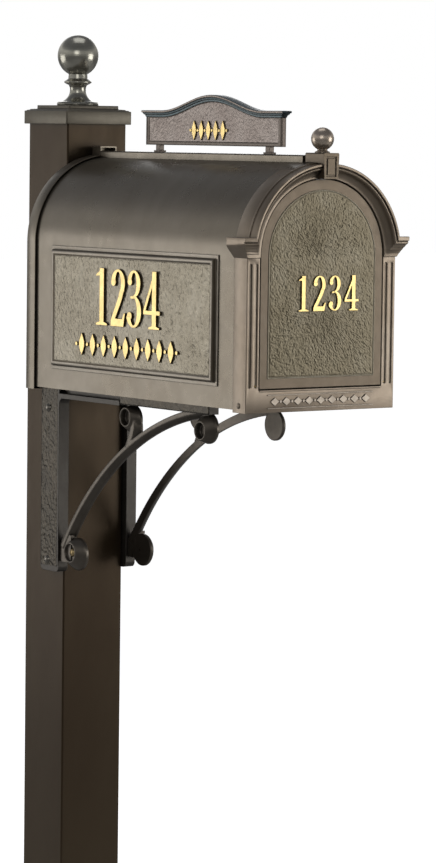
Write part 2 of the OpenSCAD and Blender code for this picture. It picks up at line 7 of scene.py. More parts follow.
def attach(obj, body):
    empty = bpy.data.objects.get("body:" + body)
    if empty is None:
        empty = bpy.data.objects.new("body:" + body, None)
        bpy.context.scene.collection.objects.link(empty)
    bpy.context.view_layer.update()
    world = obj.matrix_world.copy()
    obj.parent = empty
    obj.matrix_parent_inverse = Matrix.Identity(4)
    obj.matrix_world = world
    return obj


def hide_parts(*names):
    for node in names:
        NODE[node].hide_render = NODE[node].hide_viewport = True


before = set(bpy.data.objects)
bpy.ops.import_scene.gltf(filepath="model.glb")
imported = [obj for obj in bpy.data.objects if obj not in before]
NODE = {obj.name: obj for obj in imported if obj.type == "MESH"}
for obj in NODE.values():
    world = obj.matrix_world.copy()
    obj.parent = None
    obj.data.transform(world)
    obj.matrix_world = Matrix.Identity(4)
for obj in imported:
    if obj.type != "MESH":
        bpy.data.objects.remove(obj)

scene = bpy.context.scene
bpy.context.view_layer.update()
MM = 0.001
BOX_Z = 1092.0          # underside of the box above the ground


def P(x, d, z):
    """x to the right, d forward of the post axis, z above the underside of the box, all in mm."""
    return Vector((x * MM, -d * MM, (z + BOX_Z) * MM))


# ------------------------------------------------------------------ materials
class Mat:
    def __init__(self, name):
        self.m = bpy.data.materials.new(name)
        self.m.use_nodes = True
        self.t = self.m.node_tree
        self.t.nodes.clear()
        self.out = self.n("ShaderNodeOutputMaterial")
        self.b = self.n("ShaderNodeBsdfPrincipled")
        self.l(self.b.outputs[0], self.out.inputs[0])
        self.tc = self.n("ShaderNodeTexCoord")
        self.geo = self.n("ShaderNodeNewGeometry")

    def n(self, kind, **props):
        x = self.t.nodes.new(kind)
        for k, v in props.items():
            setattr(x, k, v)
        return x

    def l(self, a, b):
        self.t.links.new(a, b)

    def put(self, socket, value):
        if hasattr(value, "is_linked") or hasattr(value, "links"):
            self.l(value, socket)
        else:
            socket.default_value = value

    def coords(self, scale=(1, 1, 1), loc=(0, 0, 0), rot=(0, 0, 0)):
        mp = self.n("ShaderNodeMapping")
        mp.inputs["Scale"].default_value = scale
        mp.inputs["Location"].default_value = loc
        mp.inputs["Rotation"].default_value = rot
        self.l(self.tc.outputs["Object"], mp.inputs["Vector"])
        return mp.outputs[0]

    def noise(self, vec, scale, detail=4.0, rough=0.55, dist=0.0):
        x = self.n("ShaderNodeTexNoise")
        self.l(vec, x.inputs["Vector"])
        x.inputs["Scale"].default_value = scale
        x.inputs["Detail"].default_value = detail
        x.inputs["Roughness"].default_value = rough
        x.inputs["Distortion"].default_value = dist
        return x.outputs["Fac"]

    def voronoi(self, vec, scale, feature="F1", rand=1.0):
        x = self.n("ShaderNodeTexVoronoi", feature=feature)
        self.l(vec, x.inputs["Vector"])
        x.inputs["Scale"].default_value = scale
        x.inputs["Randomness"].default_value = rand
        return x.outputs["Distance"]

    def rng(self, v, a, b, c=0.0, d=1.0, smooth=False):
        x = self.n("ShaderNodeMapRange", interpolation_type="SMOOTHSTEP" if smooth else "LINEAR")
        self.l(v, x.inputs["Value"])
        for k, val in zip(("From Min", "From Max", "To Min", "To Max"), (a, b, c, d)):
            x.inputs[k].default_value = val
        return x.outputs[0]

    def math(self, op, a, b=0.0, clamp=False):
        x = self.n("ShaderNodeMath", operation=op, use_clamp=clamp)
        self.put(x.inputs[0], a)
        self.put(x.inputs[1], b)
        return x.outputs[0]

    def mix(self, fac, a, b, kind="MIX"):
        x = self.n("ShaderNodeMix", data_type="RGBA", blend_type=kind)
        self.put(x.inputs[0], fac)
        self.put(x.inputs[6], a if not isinstance(a, tuple) else (*a, 1.0))
        self.put(x.inputs[7], b if not isinstance(b, tuple) else (*b, 1.0))
        return x.outputs[2]

    def ramp(self, fac, stops):
        x = self.n("ShaderNodeValToRGB")
        self.l(fac, x.inputs[0])
        e = x.color_ramp.elements
        while len(e) < len(stops):
            e.new(0.5)
        for k, (pos, col) in enumerate(stops):
            e[k].position = pos
            e[k].color = (*col, 1.0)
        return x.outputs[0]

    def edges(self, radius, lo=0.02, hi=0.25):
        """0 on open faces, towards 1 along edges, and the rounded normal."""
        x = self.n("ShaderNodeBevel", samples=6)
        x.inputs["Radius"].default_value = radius
        dp = self.n("ShaderNodeVectorMath", operation="DOT_PRODUCT")
        self.l(x.outputs[0], dp.inputs[0])
        self.l(self.geo.outputs["Normal"], dp.inputs[1])
        inv = self.math("SUBTRACT", 1.0, dp.outputs["Value"])
        return self.rng(inv, lo, hi, smooth=True), x.outputs[0]

    def cavity(self, distance, samples=6):
        x = self.n("ShaderNodeAmbientOcclusion", samples=samples)
        x.inputs["Distance"].default_value = distance
        return x.outputs["AO"]

    def bump(self, height, strength, distance, normal=None):
        x = self.n("ShaderNodeBump")
        x.inputs["Strength"].default_value = strength
        x.inputs["Distance"].default_value = distance
        self.l(height, x.inputs["Height"])
        if normal is not None:
            self.l(normal, x.inputs["Normal"])
        return x.outputs[0]


def paint(name, dark, mid, light, metallic=0.5, rough=0.4, rough_var=0.07, patch=9.0, stretch=(1, 1, 1),
          edge=None, edge_amt=0.5, edge_r=0.0012, cavity_shade=None, cav_d=0.012, cav_amt=0.7, peel=0.12,
          hammer=None, foot_light=None, spec=0.5, coat=0.0, coat_rough=0.25, mottle=0.25, round_edges=True):
    """A cast or sheet metal finish: a mottled metallic coat, worn lighter along its edges, with painted shade
    in hollows and creases and, where asked, painted light towards the foot, over a fine orange-peel surface."""
    m = Mat(name)
    v = m.coords(stretch)
    big = m.noise(v, patch, 5.0, 0.6, 0.4)
    col = m.ramp(big, [(0.30, dark), (0.5, mid), (0.70, light)])
    fine = m.noise(v, patch * 9, 5.0, 0.65)
    col = m.mix(m.rng(fine, 0.25, 0.75, 0.0, mottle), col, tuple(c * 0.55 for c in dark))
    normal = None
    if edge is not None:
        e, nrm = m.edges(edge_r)
        if round_edges:
            normal = nrm
        wear = m.math("MULTIPLY", e, m.rng(m.noise(m.coords(), 60, 4.0), 0.3, 0.65, 0.35, 1.0))
        col = m.mix(m.math("MULTIPLY", wear, edge_amt), col, edge)
    # painted shade: ambient occlusion darkens the colour in hollows, creases and where parts meet
    if cavity_shade is not None:
        ao = m.cavity(cav_d)
        shade = m.rng(ao, 0.35, 0.95, cav_amt, 0.0, smooth=True)
        shade = m.math("MULTIPLY", shade, m.rng(fine, 0.2, 0.8, 0.75, 1.0))
        col = m.mix(shade, col, cavity_shade)
    # painted light: the colour is mixed towards a lighter tone by height, most near the foot
    if foot_light is not None:
        z0, z1, amt, foot_light_col = foot_light
        sp = m.n("ShaderNodeSeparateXYZ")
        m.l(m.tc.outputs["Object"], sp.inputs[0])
        col = m.mix(m.rng(sp.outputs[2], z0, z1, amt, 0.0, smooth=True), col, foot_light_col)
    m.l(col, m.b.inputs["Base Color"])
    r = m.rng(m.math("ADD", m.math("MULTIPLY", big, 0.5), m.math("MULTIPLY", fine, 0.5)), 0.3, 0.7, rough - rough_var, rough + rough_var)
    m.l(r, m.b.inputs["Roughness"])
    m.b.inputs["Metallic"].default_value = metallic
    m.b.inputs["Specular IOR Level"].default_value = spec
    if coat:
        m.b.inputs["Coat Weight"].default_value = coat
        m.b.inputs["Coat Roughness"].default_value = coat_rough
    h = m.noise(m.coords(), 1100, 3.0, 0.5)
    normal = m.bump(h, peel, 0.00025, normal)
    if hammer:
        scale, strength, dist, st = hammer
        hv = m.coords(st)
        a = m.noise(hv, scale, 3.0, 0.55, 0.6)
        b = m.voronoi(hv, scale * 0.8, "SMOOTH_F1")
        hh = m.math("ADD", m.math("MULTIPLY", a, 0.6), m.math("MULTIPLY", b, 0.6))
        normal = m.bump(hh, strength, dist, normal)
    m.l(normal, m.b.inputs["Normal"])
    return m.m


def by_normal(name, axis, face, side, rough=0.32, metallic=0.6):
    """Raised lettering and ornaments: the flat faces are gilt, the walls are the dark ground coat, painted darker still
    as shade.
    """
    m = Mat(name)
    sep = m.n("ShaderNodeSeparateXYZ")
    m.l(m.tc.outputs["Normal"], sep.inputs[0])
    a = m.math("ABSOLUTE", sep.outputs[axis])
    k = m.rng(a, 0.35, 0.75, smooth=True)
    v = m.coords()
    n1 = m.noise(v, 55, 5.0, 0.6)
    gold = m.ramp(n1, [(0.3, tuple(c * 0.86 for c in face)), (0.5, face), (0.72, tuple(min(1.0, c * 1.08) for c in face))])
    wornp = m.rng(m.noise(v, 260, 5.0, 0.7), 0.62, 0.74, 0.0, 0.5)
    gold = m.mix(wornp, gold, tuple(c * 0.55 for c in face))
    # painted shade: faces turned away from the axis, the walls, take the dark side colour
    m.l(m.mix(k, side, gold), m.b.inputs["Base Color"])
    m.l(m.rng(m.noise(v, 120, 4.0), 0.3, 0.7, rough - 0.06, rough + 0.08), m.b.inputs["Roughness"])
    m.b.inputs["Metallic"].default_value = metallic
    e, nrm = m.edges(0.0007)
    m.l(m.bump(m.noise(v, 900, 3.0), 0.15, 0.0002, nrm), m.b.inputs["Normal"])
    return m.m


def metal(name, a, b, rough=0.35, brushed=(1, 1, 1), scale=300, metallic=1.0):
    m = Mat(name)
    v = m.coords(brushed)
    n1 = m.noise(v, scale, 5.0, 0.6)
    col = m.ramp(n1, [(0.3, a), (0.7, b)])
    tarn = m.rng(m.noise(m.coords(), 40, 4.0), 0.5, 0.75, 0.0, 0.55)
    col = m.mix(tarn, col, tuple(c * 0.45 for c in a))
    m.l(col, m.b.inputs["Base Color"])
    m.l(m.rng(n1, 0.3, 0.7, rough - 0.08, rough + 0.1), m.b.inputs["Roughness"])
    m.b.inputs["Metallic"].default_value = metallic
    e, nrm = m.edges(0.0006)
    m.l(m.bump(n1, 0.12, 0.0002, nrm), m.b.inputs["Normal"])
    return m.m


M = {}
# the post's colour is made lighter towards its foot by height: painted light
M["post"] = paint("post_bronze", (0.036, 0.022, 0.010), (0.043, 0.028, 0.014), (0.054, 0.038, 0.021), metallic=0.6, spec=0.32,
                  foot_light=(0.10, 0.62, 0.75, (0.088, 0.066, 0.040)),
                  rough=0.40, patch=5.0, stretch=(1, 1, 0.35), edge=(0.20, 0.175, 0.14), edge_amt=0.55, mottle=0.12,
                  cavity_shade=(0.02, 0.017, 0.014), cav_d=0.03)
M["cap"] = paint("cap_bronze", (0.100, 0.086, 0.062), (0.122, 0.108, 0.082), (0.145, 0.129, 0.10), metallic=0.55,
                 rough=0.40, patch=14.0, edge=(0.30, 0.28, 0.24), edge_amt=0.6, mottle=0.15,
                 cavity_shade=(0.03, 0.026, 0.02), cav_d=0.008)
M["finial"] = paint("finial_bronze", (0.30, 0.29, 0.245), (0.36, 0.35, 0.30), (0.42, 0.405, 0.35), metallic=0.85,
                    rough=0.22, rough_var=0.05, patch=25.0, edge=(0.28, 0.26, 0.22), edge_amt=0.4, mottle=0.2,
                    cavity_shade=(0.03, 0.028, 0.022), cav_d=0.008)
M["body"] = paint("body_bronze", (0.132, 0.108, 0.078), (0.168, 0.145, 0.113), (0.20, 0.176, 0.143), metallic=0.72,
                  rough=0.29, patch=4.5, mottle=0.14,
                  cavity_shade=(0.035, 0.03, 0.022), cav_d=0.010)
M["frame"] = paint("frame_bronze", (0.192, 0.150, 0.108), (0.226, 0.182, 0.137), (0.263, 0.218, 0.170), metallic=0.64,
                   rough=0.32, patch=11.0, edge=(0.50, 0.46, 0.40), edge_amt=0.6, edge_r=0.0009, mottle=0.16,
                   cavity_shade=(0.05, 0.04, 0.028), cav_d=0.010, cav_amt=0.75)
M["door"] = paint("door_bronze", (0.112, 0.085, 0.056), (0.136, 0.106, 0.074), (0.162, 0.130, 0.095), metallic=0.62,
                  rough=0.38, patch=9.0, edge=(0.46, 0.42, 0.36), edge_amt=0.6, edge_r=0.0009, mottle=0.18,
                  cavity_shade=(0.03, 0.022, 0.014), cav_d=0.012, cav_amt=0.8)
M["panel"] = paint("door_panel_olive", (0.086, 0.071, 0.043), (0.120, 0.102, 0.067), (0.157, 0.137, 0.097), metallic=0.7,
                   rough=0.32, patch=22.0, cavity_shade=(0.035, 0.028, 0.013), cav_d=0.0022, cav_amt=0.85, mottle=0.2, peel=0.2)
M["plaque"] = paint("plaque_bronze", (0.150, 0.129, 0.092), (0.215, 0.19, 0.143), (0.285, 0.258, 0.205), metallic=0.68,
                    rough=0.28, patch=14.0, cavity_shade=(0.05, 0.04, 0.022), cav_d=0.0022, cav_amt=0.9, mottle=0.2, peel=0.2)
M["rim"] = paint("plaque_rim", (0.085, 0.065, 0.042), (0.10, 0.08, 0.055), (0.12, 0.10, 0.07), metallic=0.6,
                 rough=0.34, patch=20.0, edge=(0.52, 0.47, 0.40), edge_amt=0.85, edge_r=0.0012, mottle=0.2,
                 cavity_shade=(0.02, 0.015, 0.01), cav_d=0.006)
M["bracket"] = paint("bracket_cast", (0.046, 0.041, 0.035), (0.060, 0.054, 0.047), (0.075, 0.069, 0.061), metallic=0.68, spec=0.4,
                     rough=0.38, patch=18.0, edge=(0.22, 0.20, 0.18), edge_amt=0.6, mottle=0.2,
                     cavity_shade=(0.018, 0.015, 0.012), cav_d=0.008)
M["hammered"] = paint("bracket_hammered", (0.024, 0.019, 0.013), (0.041, 0.034, 0.024), (0.064, 0.053, 0.039), metallic=0.75, spec=0.4,
                      rough=0.27, patch=30.0, edge=None, mottle=0.25, cavity_shade=(0.02, 0.017, 0.013), cav_d=0.003, peel=0.25)
M["rim_crest"] = paint("plaque_crest", (0.20, 0.172, 0.135), (0.25, 0.22, 0.18), (0.30, 0.27, 0.225), metallic=0.65,
                      rough=0.34, patch=20.0, edge=(0.5, 0.46, 0.4), edge_amt=0.5, mottle=0.15, cavity_shade=(0.03, 0.024, 0.016), cav_d=0.004)
M["smallball"] = paint("small_ball_bronze", (0.40, 0.33, 0.26), (0.47, 0.395, 0.32), (0.54, 0.46, 0.385), metallic=0.8,
                       rough=0.27, rough_var=0.04, patch=40.0, edge=(0.45, 0.4, 0.34), edge_amt=0.3, mottle=0.2,
                       cavity_shade=(0.03, 0.025, 0.02), cav_d=0.006)
M["bead"] = paint("door_bead", (0.24, 0.21, 0.15), (0.29, 0.26, 0.195), (0.33, 0.30, 0.235), metallic=0.62,
                  rough=0.36, patch=20.0, mottle=0.15)
M["scroll"] = paint("scroll_cast", (0.080, 0.068, 0.055), (0.100, 0.086, 0.070), (0.122, 0.106, 0.088), metallic=0.7, spec=0.4,
                    rough=0.32, patch=18.0, edge=(0.24, 0.215, 0.19), edge_amt=0.6, mottle=0.2,
                    cavity_shade=(0.012, 0.01, 0.008), cav_d=0.010)
M["cornice"] = paint("cornice_patina", (0.055, 0.085, 0.095), (0.075, 0.10, 0.11), (0.11, 0.125, 0.125), metallic=0.6,
                     rough=0.34, patch=24.0, edge=(0.34, 0.29, 0.25), edge_amt=0.8, edge_r=0.0011, mottle=0.2,
                     cavity_shade=(0.008, 0.012, 0.014), cav_d=0.004, cav_amt=0.9)
M["cornice_line"] = paint("cornice_pale_bead", (0.24, 0.20, 0.17), (0.32, 0.27, 0.235), (0.38, 0.33, 0.29), metallic=0.6,
                          rough=0.34, patch=30.0, mottle=0.3)
M["board"] = paint("board_bronze", (0.21, 0.172, 0.154), (0.285, 0.242, 0.218), (0.36, 0.314, 0.288), metallic=0.68,
                   rough=0.38, patch=24.0, cavity_shade=(0.05, 0.042, 0.034), cav_d=0.0025, cav_amt=0.6, mottle=0.2, peel=0.2)
M["board_edge"] = paint("board_border", (0.095, 0.076, 0.062), (0.125, 0.102, 0.085), (0.155, 0.13, 0.11), metallic=0.6,
                        rough=0.36, patch=24.0, edge=(0.42, 0.37, 0.33), edge_amt=0.6, mottle=0.2,
                        cavity_shade=(0.03, 0.024, 0.02), cav_d=0.006)
M["gold_x"] = by_normal("gilt_side", 0, (0.90, 0.68, 0.28), (0.07, 0.045, 0.018))
M["gold_y"] = by_normal("gilt_front", 1, (0.84, 0.63, 0.25), (0.07, 0.045, 0.018), metallic=0.7)
M["sill"] = by_normal("sill_relief", 1, (0.33, 0.285, 0.235), (0.03, 0.023, 0.016), rough=0.36, metallic=0.62)
M["zinc"] = metal("zinc_plate", (0.26, 0.26, 0.265), (0.36, 0.36, 0.365), 0.42)
M["brass"] = metal("dulled_brass", (0.30, 0.22, 0.11), (0.44, 0.34, 0.18), 0.36)
M["darkscrew"] = metal("dark_screw", (0.14, 0.13, 0.115), (0.24, 0.22, 0.19), 0.3)
M["flag"] = paint("flag_red", (0.30, 0.022, 0.014), (0.38, 0.03, 0.018), (0.45, 0.045, 0.026), metallic=0.1,
                  rough=0.34, patch=20.0, edge=(0.52, 0.16, 0.10), edge_amt=0.5, mottle=0.12, coat=0.3)

NODE_MAT = {
    "foot_plate": "post", "post_tube": "post", "post_cap": "cap", "post_finial": "finial", "rear_spacer": "post",
    "bracket_left": "bracket", "bracket_right": "bracket", "scroll_left": "bracket", "scroll_right": "bracket",
    "body_shell": "body", "rear_cover": "body", "ridge_rail": "body", "floor_plate": "body",
    "front_frame": "frame", "frame_screws": "frame", "sill_ornament": "sill", "keystone": "door",
    "keystone_finial": "smallball", "door": "door", "flag_arm": "frame", "door_panel": "panel",
    "plaque_left": "rim", "plaque_right": "rim", "topper_board": "board", "topper_cornice": "cornice",
    "topper_feet": "board_edge", "numerals_left": "gold_x", "numerals_right": "gold_x", "ornament_left": "gold_x",
    "ornament_right": "gold_x", "topper_ornament": "gold_x", "door_numerals": "gold_y",
    "cap_screws": "zinc", "finial_stud": "zinc", "mounting_board": "zinc", "floor_bolts": "zinc", "rear_bolts": "zinc",
    "door_catch": "zinc", "door_strike": "zinc", "plaque_studs": "zinc", "topper_screws": "zinc",
    "bracket_post_screws": "darkscrew", "scroll_screws": "brass", "door_hinge_pins": "brass", "flag_bushing": "brass",
    "flag_bolt": "brass", "flag_rivets": "brass", "flag_blade": "flag",
}
for n, o in NODE.items():
    o.data.materials.clear()
    o.data.materials.append(M[NODE_MAT[n]])



# ------------------------------------------------------------------ mesh helpers
def make(name, verts, faces, mats, body, nodes=(), angle=35, fmat=None, merge=1e-6):
    """A mesh piece from vertices in metres. fmat gives a material index per face."""
    me = bpy.data.meshes.new(name)
    me.from_pydata([tuple(v) for v in verts], [], [tuple(f) for f in faces])
    for m in (mats if isinstance(mats, (list, tuple)) else [mats]):
        me.materials.append(m)
    if fmat is not None:
        me.polygons.foreach_set("material_index", fmat)
    b = bmesh.new()
    b.from_mesh(me)
    bmesh.ops.remove_doubles(b, verts=b.verts, dist=merge)
    bmesh.ops.dissolve_degenerate(b, edges=b.edges, dist=merge)
    loose = [v for v in b.verts if not v.link_faces]
    if loose:
        bmesh.ops.delete(b, geom=loose, context="VERTS")
    bmesh.ops.recalc_face_normals(b, faces=b.faces)
    b.to_mesh(me)
    b.free()
    for p in me.polygons:
        p.use_smooth = True
    me.set_sharp_from_angle(angle=math.radians(angle))
    o = bpy.data.objects.new(name, me)
    scene.collection.objects.link(o)
    if nodes:
        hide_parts(*nodes)
    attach(o, body)
    return o


class Geo:
    """Collects closed solids into one mesh."""
    def __init__(self):
        self.v, self.f, self.m = [], [], []

    def loft(self, rings, mat=0, cap=True, closed=True):
        """Quads between rings of equal length; flat ends where cap is set."""
        n = len(rings[0])
        base = len(self.v)
        for r in rings:
            self.v += list(r)
        for k in range(len(rings) - 1):
            for i in range(n if closed else n - 1):
                j = (i + 1) % n
                self.f.append((base + k * n + i, base + k * n + j, base + (k + 1) * n + j, base + (k + 1) * n + i))
                self.m.append(mat[k] if isinstance(mat, (list, tuple)) else mat)
        if cap:
            self.f.append(tuple(base + i for i in range(n))[::-1])
            self.f.append(tuple(base + (len(rings) - 1) * n + i for i in range(n)))
            self.m += [mat[0] if isinstance(mat, (list, tuple)) else mat, mat[-1] if isinstance(mat, (list, tuple)) else mat]
        return base

    def torus(self, rings, mat=0):
        """Rings joined end to end into a closed loop."""
        n = len(rings[0])
        base = len(self.v)
        for r in rings:
            self.v += list(r)
        for k in range(len(rings)):
            k2 = (k + 1) % len(rings)
            for i in range(n):
                j = (i + 1) % n
                self.f.append((base + k * n + i, base + k * n + j, base + k2 * n + j, base + k2 * n + i))
                self.m.append(mat[i] if isinstance(mat, (list, tuple)) else mat)

    def grid(self, fn, us, vs, low, mat=0, side=None):
        """A displaced face over us x vs, with straight walls down to the level low. fn(u, v, h) gives a point."""
        side = mat if side is None else side
        base = len(self.v)
        nu, nv = len(us), len(vs)
        for v in vs:
            for u in us:
                self.v.append(fn(u, v, None))
        for j in range(nv - 1):
            for i in range(nu - 1):
                a = base + j * nu + i
                self.f.append((a, a + 1, a + 1 + nu, a + nu))
                self.m.append(mat)
        loop = [(i, 0) for i in range(nu)] + [(nu - 1, j) for j in range(1, nv)] + \
               [(i, nv - 1) for i in range(nu - 2, -1, -1)] + [(0, j) for j in range(nv - 2, 0, -1)]
        b2 = len(self.v)
        for i, j in loop:
            self.v.append(fn(us[i], vs[j], low))
        n = len(loop)
        for k in range(n):
            k2 = (k + 1) % n
            a = base + loop[k][1] * nu + loop[k][0]
            b = base + loop[k2][1] * nu + loop[k2][0]
            self.f.append((a, b, b2 + k2, b2 + k))
            self.m.append(side)
        self.f.append(tuple(b2 + k for k in range(n)))
        self.m.append(side)

    def done(self, name, mats, body, nodes=(), angle=35):
        return make(name, self.v, self.f, mats, body, nodes, angle, self.m)


def arc(cx, cy, r, a0, a1, n):
    return [(cx + r * math.cos(math.radians(a0 + (a1 - a0) * i / n)), cy + r * math.sin(math.radians(a0 + (a1 - a0) * i / n))) for i in range(n + 1)]


def rsq(h, r, n=5):
    """Rounded square of half width h, corner radius r, counter-clockwise."""
    out = []
    for k, (sx, sy) in enumerate(((1, 1), (-1, 1), (-1, -1), (1, -1))):
        out += arc(sx * (h - r), sy * (h - r), r, 90 * k, 90 * k + 90, n)
    return out


def archline(w, zb, zs, n_side=24, n_arc=64, n_bot=24):
    """Outline of a door-shaped panel: up the right side, over the arch, down the left side, along the bottom."""
    pts = [(w, zb + (zs - zb) * i / n_side) for i in range(n_side)]
    pts += arc(0, zs, w, 0, 180, n_arc)[:-1]
    pts += [(-w, zs - (zs - zb) * i / n_side) for i in range(n_side)]
    pts += [(-w + 2 * w * i / n_bot, zb) for i in range(n_bot)]
    return pts


def steps(a, b, step, edge=(0.15, 0.5, 1.1)):
    """Even positions from a to b with a few close ones at both ends."""
    n = max(2, int(round((b - a - 2 * edge[-1]) / step)))
    mid = [a + edge[-1] + (b - a - 2 * edge[-1]) * i / n for i in range(n + 1)]
    return [a] + [a + e for e in edge[:-1]] + mid + [b - e for e in reversed(edge[:-1])] + [b]


def ss(a, b, x):
    t = min(1.0, max(0.0, (x - a) / (b - a)))
    return t * t * (3 - 2 * t)


def crinkle(u, v, s, seed, slant=0.35, tall=1.6):
    """Cast leather-like relief, about -1 to 1: short wandering ridges, a little taller than wide."""
    x, y = (u + slant * v) / s, v / (s * tall)
    w = noise.noise_vector(Vector((x * 0.55, y * 0.55, seed))) * 0.9
    a = noise.noise(Vector((x + w.x, y + w.y, seed + 3.1)))
    b = noise.noise(Vector((x * 1.9 + w.y * 1.4, y * 1.9 + w.x, seed + 7.7)))
    c = noise.noise(Vector((x * 3.9 + w.y, y * 3.6 - w.x, seed + 5.3)))
    ridge = 1.0 - 2.6 * abs(a)
    return max(-1.0, min(1.0, 0.62 * ridge + 0.55 * b + 0.3 * c))


def foil(u, v, s, seed, slant=0.45):
    """Beaten sheet: broad facets with long creases leaning one way, and small dimples between them."""
    x, y = (u + slant * v) / s, v / (s * 2.1)
    w = noise.noise_vector(Vector((x * 0.4, y * 0.4, seed))) * 1.3
    a = noise.noise(Vector((x + w.x, y + w.y, seed + 1.7)))
    b = noise.noise(Vector((x * 2.3 + w.y, y * 2.6 + w.x, seed + 9.2)))
    c = noise.noise(Vector((x * 4.7 - w.y, y * 5.2 + w.x, seed + 4.4)))
    crease = max(0.0, 1.0 - abs(a) * 5.0)
    calm = 0.55 + 0.45 * noise.noise(Vector((u / 45.0, v / 45.0, seed + 2.2)))
    return max(-1.0, min(1.0, 0.55 * crease - 0.25 + 0.75 * b * calm + 0.4 * c * calm))


def X(sx, x, d, z):
    return P(sx * x, d, z)


# ------------------------------------------------------------------ post cap
g = Geo()
prof = [(50.6, 378.6), (55.6, 377.9), (56.0, 377.3), (56.35, 377.5), (56.5, 377.9), (56.5, 395.6), (56.35, 396.0), (55.9, 396.2),
        (54.7, 396.35), (54.3, 396.6), (54.0, 397.0), (53.8, 397.3), (53.3, 397.4), (51.2, 397.6), (50.7, 397.9), (50.5, 398.2), (50.3, 398.5), (49.9, 398.6),
        (43.6, 399.3), (43.1, 399.7), (42.9, 400.1), (42.9, 403.7), (42.75, 404.05), (42.4, 404.2)]
rings = []
for h, z in prof:
    rr = 2.2 if h > 45 else 2.0
    rings.append([P(x, y, z) for x, y in rsq(h, rr)])
g.loft(rings)
g.done("cap_cover", M["cap"], "mailbox", ["post_cap"], 25)

# ------------------------------------------------------------------ rear cover: a dished plate with a thin standing rim
def cover_ring(w, zb, d, top=None):
    return [P(x, d, z) for x, z in archline(w, zb, 209.8, 12, 72, 12)]


g = Geo()
g.loft([cover_ring(118.0, 6.0, 59.7), cover_ring(123.3, 1.4, 59.7), cover_ring(124.0, 0.9, 60.1), cover_ring(124.3, 0.8, 60.9),
        cover_ring(124.3, 0.8, 80.5), cover_ring(124.15, 0.85, 81.0), cover_ring(123.8, 1.0, 81.2), cover_ring(123.2, 1.5, 81.2),
        cover_ring(122.95, 1.8, 81.0), cover_ring(122.8, 2.0, 80.5), cover_ring(122.6, 2.2, 66.0), cover_ring(121.6, 3.0, 63.8),
        cover_ring(118.0, 6.0, 63.7)])
# raised saddle over the ridge
saddle_x = [13.7, 13.7, 13.2, -13.2, -13.7, -13.7]
g2 = [(-13.7, 327.0), (-13.7, 345.2), (-13.5, 345.7), (-13.0, 345.9), (13.0, 345.9), (13.5, 345.7), (13.7, 345.2), (13.7, 327.0)]
inner = [(-11.9, 327.0), (-11.9, 343.8), (-11.7, 344.1), (-11.4, 344.2), (11.4, 344.2), (11.7, 344.1), (11.9, 343.8), (11.9, 327.0)]
def sad(poly, d, s=1.0):
    return [P(x * s, d, z) for x, z in poly]
g.loft([sad(inner, 66.0), sad(inner, 80.8), sad(inner, 81.2), sad(g2, 81.2), sad(g2, 80.8), sad(g2, 60.2), sad([(x * 0.97, z - 0.3) for x, z in g2], 59.7)], cap=True)
g.done("rear_cover_shell", M["body"], "mailbox", ["rear_cover"], 32)

# ------------------------------------------------------------------ side plaques
for sx, side in ((-1, "left"), (1, "right")):
    g = Geo()
    U0, U1, V0, V1 = 122.0, 524.0, 32.5, 206.5
    #               inset, height, material of the strip that follows (0 dark wall, an antique coat darkened further as
    #               painted shade; 1 lighter crest)
    prof = [(0.0, 120.75), (0.0, 121.75), (0.35, 122.2), (4.6, 122.25), (5.1, 122.5), (5.4, 123.6), (5.7, 125.0), (6.3, 126.2), (7.0, 126.9),
            (7.5, 127.35), (8.1, 127.5), (10.3, 127.5), (10.8, 127.35), (11.3, 126.9), (12.2, 126.5), (13.0, 126.2), (13.6, 125.6)]
    rings = []
    for i, h in prof:
        rings.append([X(sx, h, u, v) for u, v in ((U0 + i, V0 + i), (U1 - i, V0 + i), (U1 - i, V1 - i), (U0 + i, V1 - i))])
    # the rising walls take the dark rim material, partly an antique coat and partly painted shade; the flat tops take
    # the lighter crest
    strips = [0, 1, 1, 0, 0, 0, 0, 0, 1, 1, 1, 1, 1, 0, 0, 0]
    g.loft(rings, strips, cap=False)
    back = [X(sx, 120.75, u, v) for u, v in ((U0, V0), (U1, V0), (U1, V1), (U0, V1))]
    b0 = len(g.v)
    g.v += back
    g.f.append((b0, b0 + 1, b0 + 2, b0 + 3)); g.m.append(0)
    # beaten field, let into the rim
    f0, f1, k0, k1 = U0 + 12.6, U1 - 12.6, V0 + 12.6, V1 - 12.6
    seed = 11.0 if sx < 0 else 37.0
    def field(u, v, low, f0=f0, f1=f1, k0=k0, k1=k1, seed=seed, sx=sx):
        if low is not None:
            return X(sx, low, u, v)
        e = min(u - f0, f1 - u, v - k0, v - k0, k1 - v)
        lip = ss(0.0, 2.2, e)
        h = 125.95 - 0.25 * (1 - lip) + lip * (0.40 * foil(u * (-sx), v, 5.2, seed) + 0.42 * crinkle(u * (-sx), v, 3.1, seed + 4, 0.5, 1.5))
        return X(sx, h, u, v)
    g.grid(field, steps(f0, f1, 0.95), steps(k0, k1, 0.95), 121.4, 2, 0)
    g.done("plaque_cast_" + side, [M["rim"], M["rim_crest"], M["plaque"]], "mailbox", ["plaque_" + side], 50)

